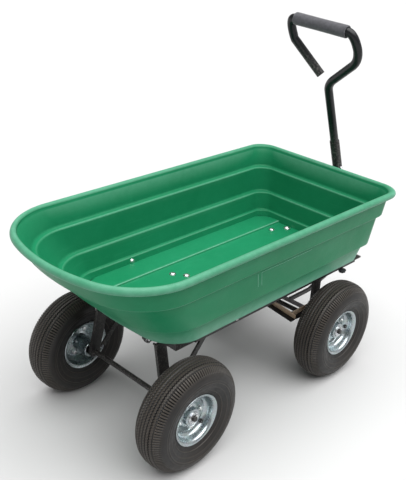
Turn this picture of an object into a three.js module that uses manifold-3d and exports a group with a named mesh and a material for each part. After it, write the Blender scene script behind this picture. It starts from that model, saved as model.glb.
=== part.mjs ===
// Four-wheeled garden cart with a tipping plastic tray, a steered front truck and a pull handle.
//
// Millimetres, +Z up. +X points to the handle (front) end, +Y is the left-hand side.
// Inside the cart group x = 0 is the rear axle and z = 0 is the ground; the group is then
// moved so that the origin lies on the ground in the middle of the overall length.

import * as THREE from 'three';
import { mergeVertices } from 'three/addons/utils/BufferGeometryUtils.js';
import Module from 'manifold-3d';

const wasm = await Module();
wasm.setup();

// ---------------------------------------------------------------- driving dimensions

const GAP = 0.3;                     // clearance left between pieces that touch

const TYRE_RADIUS = 130.6;
const WHEEL_SEGMENTS = 24;
const TRACK_HALF = 190;              // centre line to the middle plane of a tyre
const WHEELBASE = 536;
const AXLE_RADIUS = 6.3;
const AXLE_HALF_LENGTH = 217;
// a flat facet of the faceted tyre rests on the ground
const AXLE_HEIGHT = TYRE_RADIUS * Math.cos( Math.PI / WHEEL_SEGMENTS );

const HUB_BORE = 14.3;
const HUB_RADIUS = 20;
const HUB_OUTER = 19;                // outboard end of the hub, from the tyre's middle plane
const HUB_INNER = - 54;
const BEARING_WIDTH = 9;
const WASHER_RADIUS = 14;
const WASHER_THICKNESS = 2.5;

const TRAY_FLOOR = 298;              // inner face of the floor
const TRAY_UNDERSIDE = 291;
const RIM_TOP = 495;
const RIM_HALF = 235;
const DUMP_CORNER = 165;             // corner radii at the rim
const FRONT_CORNER = 50;

const STRAP_THICKNESS = 4.7;         // flat steel straps bolted under the tray
const STRAP_TOP = TRAY_UNDERSIDE - GAP;
const STRAP_BOTTOM = STRAP_TOP - STRAP_THICKNESS;
const STRAP_INNER = 32;
const STRAP_OUTER = 95;
const STRAP_REAR = - 36;
const STRAP_FRONT = 640;

const MEMBER_TOP = STRAP_BOTTOM - GAP;
const MEMBER_BOTTOM = 266.5;         // cross members and rails stay above the tyres
const MEMBER_HALF = 146;
const MEMBER_WALL = 3;
const REAR_MEMBER = [ 0, 55 ];
const MIDDLE_MEMBER = [ 112, 136 ];
const BOLSTER_MEMBER = [ 460, 484 ];
const FRONT_MEMBER = [ 583, 611 ];

const RAIL_TOP = TRAY_UNDERSIDE - GAP;
const RAIL_FLANGE = 20;
const RAIL_WALL = 4;
const RAIL_REAR = REAR_MEMBER[ 1 ] + GAP;
const RAIL_FRONT = 662;

const LEG_WIDTH = 30;
const LEG_THICKNESS = 8;
const LEG_Y_AT_AXLE = 126;
const REAR_LEG_LEAN = THREE.MathUtils.degToRad( 12 );
const FRONT_LEG_SETBACK = 5;         // front legs sit a little behind the axle's centre line

const BRACE_WIDTH = 14;
const BRACE_THICKNESS = 5;
const BRACE = { y: 122, foot: { x: 23.5, z: 139 }, head: { x: 123.5, z: 260.5 } };

const TIP_PIVOT = { x: - 20, z: 276 };
const TIP_ROD_RADIUS = 5;
const TIP_ROD_HALF = 90;
const TIP_BRACKET_Y = 73;
const TIP_LUG_Y = 80;
const TIP_PLATE = 6;

const KINGPIN_RADIUS = 8;
const BOLSTER = { rear: 458, front: 608, half: 58, bottom: 260.6, top: MEMBER_BOTTOM - GAP };
const TURNTABLE = { radius: 62, bottom: 254, top: 260.2 };
const BEAM = { rear: 521, front: 551, half: 121.5, bottom: 243, top: TURNTABLE.bottom - GAP };

const RING_BOTTOM = 150;             // angle-iron ring behind the front legs
const RING_FLANGE = 4;
const RING_TOP = 166;
const RING_CORNER_X = 446;
const RING_DEPTH = 18;
const RING_BEND = 18;                // how far the rear bar is bent forward at its middle
const RING_SIDE_OUT = 121;
const RING_SIDE_IN = 105;
const RING_FRONT = 545;

const CROSS_BAR = { x: 525, width: 10, bottom: 152, top: 160, half: RING_SIDE_IN - GAP };

const HANDLE_PIVOT = { x: 862, z: 197 };
const TONGUE_REAR = { x: CROSS_BAR.x + CROSS_BAR.width / 2 + 1, y: 50, z: 156 };
const TONGUE_BEND_RUN = 85;          // level, straight stretch before the tongue converges
const TONGUE_FRONT_Y = 24;
const TONGUE_THICKNESS = 7;
const TONGUE_REAR_HEIGHT = 10;
const TONGUE_FRONT_HEIGHT = 24;

const HANDLE_LEAN = THREE.MathUtils.degToRad( 22.3 );
const HANDLE_PIN_RADIUS = 5;
const LOWER_TUBE = { outer: 13, inner: 11.4, top: 388 };
const UPPER_TUBE_RADIUS = 11;
const SLEEVE_RADIUS = 12;
const SLEEVE_HALF = 18.5;
const NECK = 562;                    // where the loop leaves the straight tube
const GRIP_DISTANCE = 728;           // from the pivot to the middle of the grip
const GRIP_TILT = THREE.MathUtils.degToRad( 3 );
const GRIP_HALF = 76;
const GRIP_RADIUS = 15.5;

const LATCH_PIVOT = { x: 634, z: 275 };
const LATCH_PIN_RADIUS = 3;
const LATCH_EAR = { rear: 620, front: 648, half: 24, wall: 4, bottom: 266 };
const LATCH_LEVER_HALF = 12;

const TRAY_BOLTS = [ { x: 193, y: 67 }, { x: 214, y: 40 }, { x: 590, y: 82 } ];
const TRAY_BOLT_RADIUS = 3;

// ---------------------------------------------------------------- materials

function finish( color, roughness, metalness ) {

	return new THREE.MeshStandardMaterial( { color, roughness, metalness } );

}

const trayPlastic = () => finish( 0x1f7d4e, 0.45, 0 );
const blackPaint = () => finish( 0x17181a, 0.4, 0.3 );
const steel = () => finish( 0xb9bdc0, 0.35, 1 );
const zinc = () => finish( 0xd3d6d8, 0.4, 0.9 );
const tyreRubber = () => finish( 0x2b2a28, 0.85, 0 );
const foam = () => finish( 0x332f3c, 0.95, 0 );

// ---------------------------------------------------------------- shape helpers

function solid( geometry ) {

	const bare = geometry.clone();
	bare.deleteAttribute( 'normal' );
	bare.deleteAttribute( 'uv' );
	const merged = mergeVertices( bare, 1e-4 );
	const triVerts = merged.index.array;
	return new wasm.Manifold( new wasm.Mesh( {
		numProp: 3,
		vertProperties: Float32Array.from( merged.attributes.position.array ),
		triVerts: Uint32Array.from( triVerts ),
	} ) );

}

function geometryOf( manifold ) {

	const mesh = manifold.getMesh();
	const geometry = new THREE.BufferGeometry();
	geometry.setAttribute( 'position', new THREE.BufferAttribute( mesh.vertProperties, 3 ) );
	geometry.setIndex( new THREE.BufferAttribute( mesh.triVerts, 1 ) );
	return geometry;

}

function join( ...geometries ) {

	return geometryOf( geometries.map( solid ).reduce( ( a, b ) => a.add( b ) ) );

}

function cut( geometry, ...tools ) {

	return geometryOf( tools.map( solid ).reduce( ( a, b ) => a.subtract( b ), solid( geometry ) ) );

}

function polygon( points ) {

	return new THREE.Shape( points.map( ( [ u, v ] ) => new THREE.Vector2( u, v ) ) );

}

function rectangle( u0, v0, u1, v1 ) {

	return polygon( [ [ u0, v0 ], [ u1, v0 ], [ u1, v1 ], [ u0, v1 ] ] );

}

function withHole( shape, u, v, radius ) {

	const hole = new THREE.Path();
	hole.absarc( u, v, radius, 0, Math.PI * 2, true );
	shape.holes.push( hole );
	return shape;

}

function extrude( shape, depth, curveSegments = 8 ) {

	return new THREE.ExtrudeGeometry( shape, { depth, bevelEnabled: false, curveSegments } );

}

// a section in (y, z) run along X from x0 to x1
function alongX( shape, x0, x1 ) {

	const turn = new THREE.Matrix4().makeBasis(
		new THREE.Vector3( 0, 1, 0 ), new THREE.Vector3( 0, 0, 1 ), new THREE.Vector3( 1, 0, 0 ) );
	return extrude( shape, x1 - x0 ).applyMatrix4( turn ).translate( x0, 0, 0 );

}

// a section in (x, z) run along Y, centred on y
function alongY( shape, width, y = 0, curveSegments = 8 ) {

	return extrude( shape, width, curveSegments ).rotateX( Math.PI / 2 ).translate( 0, y + width / 2, 0 );

}

// an outline in (x, y) run up Z from z0 to z1
function alongZ( shape, z0, z1, curveSegments = 8 ) {

	return extrude( shape, z1 - z0, curveSegments ).translate( 0, 0, z0 );

}

function rodAlongY( radius, halfLength, segments = 16 ) {

	return new THREE.CylinderGeometry( radius, radius, 2 * halfLength, segments );

}

function turned( profile, segments, phiStart = 0 ) {

	const points = profile.map( ( [ r, t ] ) => new THREE.Vector2( r, t ) );
	return new THREE.LatheGeometry( points, segments, phiStart );

}

function collar( inner, outer, t0, t1, segments ) {

	return turned( [ [ inner, t0 ], [ outer, t0 ], [ outer, t1 ], [ inner, t1 ], [ inner, t0 ] ], segments );

}

// an upside-down channel section between x0 and x1
function channel( x0, x1 ) {

	const inner = MEMBER_TOP - MEMBER_WALL;
	return polygon( [
		[ x0, MEMBER_BOTTOM ], [ x0 + MEMBER_WALL, MEMBER_BOTTOM ], [ x0 + MEMBER_WALL, inner ],
		[ x1 - MEMBER_WALL, inner ], [ x1 - MEMBER_WALL, MEMBER_BOTTOM ], [ x1, MEMBER_BOTTOM ],
		[ x1, MEMBER_TOP ], [ x0, MEMBER_TOP ],
	] );

}

// ---------------------------------------------------------------- scene graph

const cart = new THREE.Group();
const SIDES = [ { name: 'left', sign: 1 }, { name: 'right', sign: - 1 } ];

function add( name, geometry, material, parent = cart ) {

	const mesh = new THREE.Mesh( geometry, material );
	mesh.name = name;
	parent.add( mesh );
	return mesh;

}

// ---------------------------------------------------------------- tray

// One level of the tray in plan: straight sides, small corners at the handle end, large
// corners and a bowed end at the dump end.
function trayOutline( { z, half, dump, front, dumpCorner, frontCorner, bowRadius } ) {

	const points = [];
	const arc = ( cx, cy, r, from, to, steps, last ) => {

		const count = last ? steps : steps - 1;
		for ( let i = 0; i <= count; i ++ ) {

			const a = from + ( to - from ) * i / steps;
			points.push( new THREE.Vector3( cx + r * Math.cos( a ), cy + r * Math.sin( a ), z ) );

		}

	};

	const bowCentre = dump + bowRadius;
	const reach = bowRadius - dumpCorner;
	const spread = Math.asin( ( half - dumpCorner ) / reach );
	const cornerX = bowCentre - reach * Math.cos( spread );
	arc( front - frontCorner, half - frontCorner, frontCorner, 0, Math.PI / 2, 5, true );
	arc( cornerX, half - dumpCorner, dumpCorner, Math.PI / 2, Math.PI - spread, 6, false );
	arc( bowCentre, 0, bowRadius, Math.PI - spread, Math.PI, 3, false );
	const mirrored = points.slice().reverse().map( ( p ) => new THREE.Vector3( p.x, - p.y, p.z ) );
	return [ ...points, new THREE.Vector3( dump, 0, z ), ...mirrored ];

}

// levels from the underside up the outside, over the rolled lip and down the inside;
// each row: z, half width, dump end x, handle end x
const TRAY_LEVELS = [
	[ TRAY_UNDERSIDE, 169, - 46, 651 ],
	[ 341, 183, - 88, 659 ],
	[ 343, 194, - 99, 667 ],
	[ 426, 205, - 175, 673 ],
	[ 428, 214, - 187, 681 ],
	[ 478, 220, - 219, 685 ],
	[ 479, 232, - 231, 697 ],
	[ 488, 235, - 234, 700 ],
	[ RIM_TOP, 228, - 227, 693 ],
	[ RIM_TOP, 221, - 220, 686 ],
	[ 488, 216, - 213, 681 ],
	[ 438, 210, - 180, 677 ],
	[ 436, 199, - 169, 668 ],
	[ 370, 193, - 113, 664 ],
	[ 368, 182, - 102, 656 ],
	[ 320, 174, - 66, 652.5 ],
	[ 318, 168, - 61, 648 ],
	[ TRAY_FLOOR, 164, - 44, 645.5 ],
];

function trayShell() {

	const rings = TRAY_LEVELS.map( ( [ z, half, dump, front ] ) => {

		const rise = ( z - TRAY_UNDERSIDE ) / ( RIM_TOP - TRAY_UNDERSIDE );
		const inset = RIM_HALF - half;
		return trayOutline( {
			z, half, dump, front,
			dumpCorner: DUMP_CORNER - 1.2 * inset,
			frontCorner: FRONT_CORNER - 0.25 * inset,
			bowRadius: THREE.MathUtils.lerp( 900, 385, rise ),
		} );

	} );
	const size = rings[ 0 ].length;
	const vertices = rings.flat();
	const index = [];
	for ( let level = 0; level < rings.length - 1; level ++ ) {

		for ( let i = 0; i < size; i ++ ) {

			const a = level * size + i;
			const b = level * size + ( i + 1 ) % size;
			index.push( a, b, b + size, a, b + size, a + size );

		}

	}

	const closeLevel = ( level, z, upwards ) => {

		const centre = vertices.length;
		vertices.push( new THREE.Vector3( ( STRAP_REAR + STRAP_FRONT ) / 2, 0, z ) );
		for ( let i = 0; i < size; i ++ ) {

			const a = level * size + i;
			const b = level * size + ( i + 1 ) % size;
			if ( upwards ) index.push( centre, a, b );
			else index.push( centre, b, a );

		}

	};

	closeLevel( 0, TRAY_UNDERSIDE, false );
	closeLevel( rings.length - 1, TRAY_FLOOR, true );
	const geometry = new THREE.BufferGeometry().setFromPoints( vertices );
	geometry.setIndex( index );
	return geometry;

}

function verticalHole( { x, y }, radius, z0, z1 ) {

	return new THREE.CylinderGeometry( radius, radius, z1 - z0, 8 )
		.rotateX( Math.PI / 2 )
		.translate( x, y, ( z0 + z1 ) / 2 );

}

const boltPlaces = SIDES.flatMap( ( { name, sign } ) => TRAY_BOLTS.map( ( { x, y }, i ) => (
	{ name: `tray_bolt_${ name }_${ i + 1 }`, x, y: sign * y } ) ) );

add( 'tray', cut( trayShell(), ...boltPlaces.map( ( place ) => (
	verticalHole( place, TRAY_BOLT_RADIUS + 0.6, TRAY_UNDERSIDE - 5, TRAY_FLOOR + 5 ) ) ) ), trayPlastic() );

for ( const place of boltPlaces ) {

	const head = 7.5;
	const shank = TRAY_FLOOR + GAP - STRAP_BOTTOM - 1;
	const bolt = turned( [
		[ 0, - shank ], [ TRAY_BOLT_RADIUS, - shank ], [ TRAY_BOLT_RADIUS, 0 ],
		[ head, 0 ], [ 0.75 * head, 3 ], [ 0, 4.2 ],
	], 8 ).rotateX( Math.PI / 2 );
	add( place.name, bolt, zinc() ).position.set( place.x, place.y, TRAY_FLOOR + GAP );

}

// flat straps under the tray, each with a lug that hangs down to the tipping rod
for ( const { name, sign } of SIDES ) {

	const low = Math.min( sign * STRAP_INNER, sign * STRAP_OUTER );
	const high = Math.max( sign * STRAP_INNER, sign * STRAP_OUTER );
	const outline = rectangle( STRAP_REAR, low, STRAP_FRONT, high );
	for ( const { x, y } of TRAY_BOLTS ) withHole( outline, x, sign * y, TRAY_BOLT_RADIUS + 0.6 );
	const strap = alongZ( outline, STRAP_BOTTOM, STRAP_TOP, 5 );

	const { x, z } = TIP_PIVOT;
	const reach = 10.5;
	const lug = new THREE.Shape();
	lug.moveTo( x - reach, STRAP_BOTTOM + 1 );
	lug.lineTo( x - reach, z );
	lug.absarc( x, z, reach, Math.PI, 2 * Math.PI, false );
	lug.lineTo( x + reach, STRAP_BOTTOM + 1 );
	withHole( lug, x, z, TIP_ROD_RADIUS + 0.4 );
	add( `tray_strap_${ name }`, join( strap, alongY( lug, TIP_PLATE, sign * TIP_LUG_Y, 6 ) ), blackPaint() );

}

// ---------------------------------------------------------------- release latch

// bracket under the front of the tray with two ears for the latch pin
{

	const { rear, front, half, wall, bottom } = LATCH_EAR;
	const section = polygon( [
		[ - half, bottom ], [ - half + wall, bottom ], [ - half + wall, STRAP_TOP - wall ],
		[ half - wall, STRAP_TOP - wall ], [ half - wall, bottom ], [ half, bottom ],
		[ half, STRAP_TOP ], [ - half, STRAP_TOP ],
	] );
	const pinHole = rodAlongY( LATCH_PIN_RADIUS + 0.4, half + 5, 12 )
		.translate( LATCH_PIVOT.x, 0, LATCH_PIVOT.z );
	add( 'latch_bracket', cut( alongX( section, rear, front ), pinHole ), blackPaint() );

}

add( 'latch_pin', rodAlongY( LATCH_PIN_RADIUS, LATCH_EAR.half + 3, 12 ), zinc() )
	.position.set( LATCH_PIVOT.x, 0, LATCH_PIVOT.z );

// bent lever: hook below the front member's edge at the rear, finger tab at the front
{

	const { x, z } = LATCH_PIVOT;
	const noseX = FRONT_MEMBER[ 1 ] + 0.5;
	const outline = polygon( [
		[ x - 6.5, z - 4 ], [ x - 11, MEMBER_BOTTOM - 2 ], [ noseX, MEMBER_BOTTOM - 2 ],
		[ noseX, MEMBER_BOTTOM - 6 ], [ x - 8, MEMBER_BOTTOM - 7 ], [ x - 1, z - 7 ],
		[ x + 8, z - 5 ], [ x + 36, z - 11 ], [ x + 38, z - 7 ], [ x + 9, z ],
		[ x + 5, z + 5.5 ], [ x - 4, z + 6.5 ], [ x - 7, z + 2 ],
	] );
	withHole( outline, x, z, LATCH_PIN_RADIUS + 0.4 );
	add( 'latch_lever', alongY( outline, 2 * LATCH_LEVER_HALF, 0, 6 ), zinc() );

}

// torsion spring wound round the latch pin between the lever and one ear
class CoilCurve extends THREE.Curve {

	getPoint( t ) {

		const turns = 2.5;
		const radius = 5.2;
		const length = 4.6;
		const angle = 2 * Math.PI * turns * t;
		return new THREE.Vector3( radius * Math.cos( angle ), length * t, radius * Math.sin( angle ) );

	}

}

{

	const wire = new THREE.Shape().absarc( 0, 0, 0.7, 0, 2 * Math.PI, false );
	const coil = new THREE.ExtrudeGeometry( wire, {
		steps: 26, curveSegments: 3, bevelEnabled: false, extrudePath: new CoilCurve(),
	} );
	add( 'latch_spring', coil, steel() ).position.set( LATCH_PIVOT.x, LATCH_LEVER_HALF + 1.7, LATCH_PIVOT.z );

}

// ---------------------------------------------------------------- chassis

const memberGeometry = ( [ x0, x1 ] ) => alongY( channel( x0, x1 ), 2 * MEMBER_HALF );

// the rear member's ends are closed with plates
{

	const end = rectangle( REAR_MEMBER[ 0 ], MEMBER_BOTTOM, REAR_MEMBER[ 1 ], MEMBER_TOP );
	const plates = SIDES.map( ( { sign } ) => (
		alongY( end, MEMBER_WALL, sign * ( MEMBER_HALF - MEMBER_WALL / 2 ) ) ) );
	add( 'rear_cross_member', join( memberGeometry( REAR_MEMBER ), ...plates ), blackPaint() );

}

add( 'middle_cross_member', memberGeometry( MIDDLE_MEMBER ), blackPaint() );
add( 'bolster_cross_member', memberGeometry( BOLSTER_MEMBER ), blackPaint() );
add( 'front_cross_member', memberGeometry( FRONT_MEMBER ), blackPaint() );

for ( const { name, sign } of SIDES ) {

	const web = MEMBER_HALF + GAP;
	const rail = polygon( [
		[ web, MEMBER_BOTTOM ], [ web + RAIL_WALL, MEMBER_BOTTOM ], [ web + RAIL_WALL, RAIL_TOP - RAIL_WALL ],
		[ web + RAIL_FLANGE, RAIL_TOP - RAIL_WALL ], [ web + RAIL_FLANGE, RAIL_TOP ], [ web, RAIL_TOP ],
	] );
	const bar = alongX( rail, RAIL_REAR, RAIL_FRONT );
	if ( sign < 0 ) bar.rotateZ( Math.PI ).translate( RAIL_REAR + RAIL_FRONT, 0, 0 );
	add( `side_rail_${ name }`, bar, blackPaint() );

}

// flat bar drawn upright about the axle hole, with its foot leaned outwards
function addLeg( name, { x, sign, top, lean = 0, setback = 0 } ) {

	const drop = LEG_THICKNESS / 2 * Math.sin( lean );
	const height = ( top - drop - AXLE_HEIGHT ) / Math.cos( lean );
	const outline = new THREE.Shape();
	const half = LEG_WIDTH / 2;
	outline.moveTo( half - setback, height );
	outline.lineTo( - half - setback, height );
	outline.lineTo( - half - setback, 0 );
	outline.absarc( - setback, 0, half, Math.PI, 2 * Math.PI, false );
	withHole( outline, 0, 0, AXLE_RADIUS + 1.6 );
	const leg = add( name, alongY( outline, LEG_THICKNESS ), blackPaint() );
	leg.position.set( x, sign * LEG_Y_AT_AXLE, AXLE_HEIGHT );
	leg.rotation.x = sign * lean;

}

for ( const { name, sign } of SIDES ) {

	addLeg( `rear_leg_${ name }`, { x: 0, sign, top: MEMBER_BOTTOM - GAP, lean: REAR_LEG_LEAN } );

	// flat bar from the foot of the leg up to the middle cross member
	const foot = new THREE.Vector3( BRACE.foot.x, sign * BRACE.y, BRACE.foot.z );
	const head = new THREE.Vector3( BRACE.head.x, sign * BRACE.y, BRACE.head.z );
	const brace = new THREE.BoxGeometry( BRACE_WIDTH, BRACE_THICKNESS, foot.distanceTo( head ) );
	const mesh = add( `rear_brace_${ name }`, brace, blackPaint() );
	const along = head.clone().sub( foot ).normalize();
	const across = new THREE.Vector3( 0, 1, 0 ).cross( along ).normalize();
	mesh.quaternion.setFromRotationMatrix(
		new THREE.Matrix4().makeBasis( across, along.clone().cross( across ), along ) );
	mesh.position.copy( foot ).lerp( head, 0.5 );

	// plate on the rear cross member that carries the tipping rod
	const { x, z } = TIP_PIVOT;
	const reach = 8.5;
	const plate = new THREE.Shape();
	plate.moveTo( REAR_MEMBER[ 0 ] - GAP, z + reach );
	plate.lineTo( x, z + reach );
	plate.absarc( x, z, reach, Math.PI / 2, 1.5 * Math.PI, false );
	plate.lineTo( REAR_MEMBER[ 0 ] - GAP, z - reach );
	withHole( plate, x, z, TIP_ROD_RADIUS + 0.3 );
	add( `tip_bracket_${ name }`, alongY( plate, TIP_PLATE, sign * TIP_BRACKET_Y, 6 ), blackPaint() );

}

add( 'tip_pivot_rod', rodAlongY( TIP_ROD_RADIUS, TIP_ROD_HALF, 12 ), zinc() )
	.position.set( TIP_PIVOT.x, 0, TIP_PIVOT.z );

add( 'rear_axle', rodAlongY( AXLE_RADIUS, AXLE_HALF_LENGTH ), blackPaint() )
	.position.set( 0, 0, AXLE_HEIGHT );

add( 'bolster_plate', alongZ(
	withHole( rectangle( BOLSTER.rear, - BOLSTER.half, BOLSTER.front, BOLSTER.half ),
		WHEELBASE, 0, KINGPIN_RADIUS + 0.4 ),
	BOLSTER.bottom, BOLSTER.top ), blackPaint() );

{

	const head = BOLSTER.top + GAP;
	const nut = BEAM.bottom - GAP;
	add( 'kingpin', turned( [
		[ 0, nut - 16 ], [ KINGPIN_RADIUS, nut - 16 ], [ KINGPIN_RADIUS, nut - 11 ], [ 13, nut - 11 ],
		[ 13, nut ], [ KINGPIN_RADIUS, nut ], [ KINGPIN_RADIUS, head ], [ 14, head ],
		[ 14, head + 8 ], [ 0, head + 8 ],
	], 12 ).rotateX( Math.PI / 2 ), zinc() ).position.set( WHEELBASE, 0, 0 );

}

// ---------------------------------------------------------------- front truck

const turntable = new THREE.Shape().absarc( WHEELBASE, 0, TURNTABLE.radius, 0, 2 * Math.PI, false );
add( 'turntable_plate', alongZ( withHole( turntable, WHEELBASE, 0, KINGPIN_RADIUS + 0.6 ),
	TURNTABLE.bottom, TURNTABLE.top, 12 ), blackPaint() );

add( 'truck_beam', alongZ(
	withHole( rectangle( BEAM.rear, - BEAM.half, BEAM.front, BEAM.half ),
		WHEELBASE, 0, KINGPIN_RADIUS + 0.6 ),
	BEAM.bottom, BEAM.top ), blackPaint() );

add( 'front_axle', rodAlongY( AXLE_RADIUS, AXLE_HALF_LENGTH ), blackPaint() )
	.position.set( WHEELBASE, 0, AXLE_HEIGHT );

for ( const { name, sign } of SIDES ) {

	addLeg( `front_leg_${ name }`, { x: WHEELBASE, sign, top: BEAM.top, setback: FRONT_LEG_SETBACK } );

	// side of the ring: upright web with an outward flange
	const section = polygon( [
		[ RING_SIDE_IN, RING_BOTTOM ], [ RING_SIDE_OUT, RING_BOTTOM ],
		[ RING_SIDE_OUT, RING_BOTTOM + RING_FLANGE ], [ RING_SIDE_IN + RING_FLANGE, RING_BOTTOM + RING_FLANGE ],
		[ RING_SIDE_IN + RING_FLANGE, RING_TOP ], [ RING_SIDE_IN, RING_TOP ],
	] );
	const ringRear = RING_CORNER_X + RING_DEPTH + RING_BEND * ( 1 - RING_SIDE_IN / RING_SIDE_OUT ) + GAP;
	const bar = alongX( section, ringRear, RING_FRONT );
	if ( sign < 0 ) bar.rotateZ( Math.PI ).translate( ringRear + RING_FRONT, 0, 0 );
	add( `truck_side_${ name }`, bar, blackPaint() );

	// tongue bar: level and straight behind the bend, then converging, rising and deepening
	const bend = new THREE.Vector3( TONGUE_REAR.x + TONGUE_BEND_RUN, sign * TONGUE_REAR.y, TONGUE_REAR.z );
	const end = new THREE.Vector3( HANDLE_PIVOT.x, sign * TONGUE_FRONT_Y, HANDLE_PIVOT.z );
	const turn = Math.atan2( end.y - bend.y, end.x - bend.x );
	const run = Math.hypot( end.x - bend.x, end.y - bend.y );
	const rise = end.z - bend.z;
	const slope = Math.atan2( rise, run );
	const reach = TONGUE_FRONT_HEIGHT / 2;
	const low = - TONGUE_REAR_HEIGHT / 2;
	const front = new THREE.Shape();
	front.moveTo( - 1, low );
	front.lineTo( 0, low );
	front.absarc( run, rise, reach, slope - Math.PI / 2, slope + Math.PI / 2, false );
	front.lineTo( 0, - low );
	front.lineTo( - 1, - low );
	withHole( front, run, rise, HANDLE_PIN_RADIUS + 0.9 );
	const rear = rectangle( - TONGUE_BEND_RUN, low, 1, - low );
	const mesh = add( `tongue_${ name }`, join(
		alongY( rear, TONGUE_THICKNESS ),
		alongY( front, TONGUE_THICKNESS, 0, 6 ).rotateZ( turn ) ), blackPaint() );
	mesh.position.copy( bend );

}

// rear bar of the ring, bent slightly forward at its middle
{

	const strip = ( depth ) => polygon( [
		[ RING_CORNER_X, - RING_SIDE_OUT ], [ RING_CORNER_X + depth, - RING_SIDE_OUT ],
		[ RING_CORNER_X + RING_BEND + depth, 0 ],
		[ RING_CORNER_X + depth, RING_SIDE_OUT ], [ RING_CORNER_X, RING_SIDE_OUT ],
		[ RING_CORNER_X + RING_BEND, 0 ],
	] );
	const flange = alongZ( strip( RING_DEPTH ), RING_BOTTOM, RING_BOTTOM + RING_FLANGE );
	const web = alongZ( strip( RING_FLANGE ), RING_BOTTOM, RING_TOP ).translate( RING_DEPTH - RING_FLANGE, 0, 0 );
	add( 'truck_rear_bar', join( flange, web ), blackPaint() );

}

add( 'truck_cross_bar', alongY( rectangle(
	CROSS_BAR.x - CROSS_BAR.width / 2, CROSS_BAR.bottom, CROSS_BAR.x + CROSS_BAR.width / 2, CROSS_BAR.top ),
2 * CROSS_BAR.half ), blackPaint() );

add( 'handle_pin', rodAlongY( HANDLE_PIN_RADIUS, TONGUE_FRONT_Y + 9, 12 ), zinc() )
	.position.set( HANDLE_PIVOT.x, 0, HANDLE_PIVOT.z );

// ---------------------------------------------------------------- handle

const handle = new THREE.Group();
handle.position.set( HANDLE_PIVOT.x, 0, HANDLE_PIVOT.z );
handle.rotation.y = - HANDLE_LEAN;
cart.add( handle );

{

	const { outer, inner, top } = LOWER_TUBE;
	const tube = collar( inner, outer, 0, top, 16 ).rotateX( Math.PI / 2 );
	const sleeve = rodAlongY( SLEEVE_RADIUS, SLEEVE_HALF, 16 );
	const pinHole = rodAlongY( HANDLE_PIN_RADIUS + 0.5, SLEEVE_HALF + 5, 12 );
	add( 'handle_lower_tube', cut( join( tube, sleeve ), pinHole ), blackPaint(), handle );

}

// hand loop in the plane of the handle: one closed side to the neck, one free end
function loopPath() {

	const path = new THREE.CurvePath();
	const at = ( y, s ) => new THREE.Vector3( 0, y, s );
	const gripPoint = ( y ) => at( y * Math.cos( GRIP_TILT ), GRIP_DISTANCE + y * Math.sin( GRIP_TILT ) );
	const line = ( a, b ) => path.add( new THREE.LineCurve3( a, b ) );
	const bend = ( a, corner, b ) => path.add( new THREE.QuadraticBezierCurve3( a, corner, b ) );
	line( at( 0, LOWER_TUBE.top - 50 ), at( 0, NECK - 16 ) );
	bend( at( 0, NECK - 16 ), at( - 1, NECK + 4 ), at( - 22, NECK + 21 ) );
	line( at( - 22, NECK + 21 ), at( - 82, 635 ) );
	bend( at( - 82, 635 ), at( - 102, 654 ), at( - 100, 683 ) );
	bend( at( - 100, 683 ), at( - 95, 719 ), gripPoint( - GRIP_HALF - 3 ) );
	line( gripPoint( - GRIP_HALF - 3 ), gripPoint( GRIP_HALF + 2 ) );
	bend( gripPoint( GRIP_HALF + 2 ), at( 100, GRIP_DISTANCE + 4 ), at( 89, 674 ) );
	line( at( 89, 674 ), at( 19, 587 ) );
	return path;

}

{

	const section = new THREE.Shape().absarc( 0, 0, UPPER_TUBE_RADIUS, 0, 2 * Math.PI, false );
	const loop = new THREE.ExtrudeGeometry( section, {
		steps: 50, curveSegments: 4, bevelEnabled: false, extrudePath: loopPath(),
	} );
	add( 'handle_loop', loop, blackPaint(), handle );

}

const grip = add( 'handle_grip', collar( UPPER_TUBE_RADIUS + 0.6, GRIP_RADIUS, - GRIP_HALF, GRIP_HALF, 16 ),
	foam(), handle );
grip.position.z = GRIP_DISTANCE;
grip.rotation.x = GRIP_TILT;

// ---------------------------------------------------------------- wheels

const FACET_DOWN = Math.PI / WHEEL_SEGMENTS;

// tyre casing: open towards the rim; (radius, distance from the middle plane)
const TYRE_HALF = [ [ TYRE_RADIUS, 10 ], [ 122, 30 ], [ 103, 42.5 ], [ 79, 39 ], [ 61, 29 ] ];
const CASING_HALF = [ [ 54.6, 28.6 ], [ 54.6, 22 ], [ 82, 33 ], [ 102, 35 ], [ 121, 12 ] ];
const mirror = ( points ) => points.slice().reverse().map( ( [ r, t ] ) => [ r, - t ] );
const TYRE_PROFILE = [
	...mirror( TYRE_HALF ), ...TYRE_HALF, ...CASING_HALF, ...mirror( CASING_HALF ),
	mirror( TYRE_HALF )[ 0 ],
];

// rim and hub turned as one piece: disc in the middle, drop barrel, flanges outside
const RIM_PROFILE = [
	[ HUB_BORE, HUB_INNER ], [ HUB_RADIUS, HUB_INNER ], [ HUB_RADIUS, - 3 ], [ 45, - 3 ],
	[ 50.5, - 12 ], [ 51, - 26 ], [ 61.5, - 31.5 ], [ 61.5, - 29.3 ], [ 54, - 29 ],
	[ 54, 29 ], [ 61.5, 29.3 ], [ 61.5, 31.5 ], [ 51, 26 ], [ 50.5, 12 ], [ 45, 3 ],
	[ HUB_RADIUS, 3 ], [ HUB_RADIUS, HUB_OUTER ], [ HUB_BORE, HUB_OUTER ], [ HUB_BORE, HUB_INNER ],
];

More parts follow.
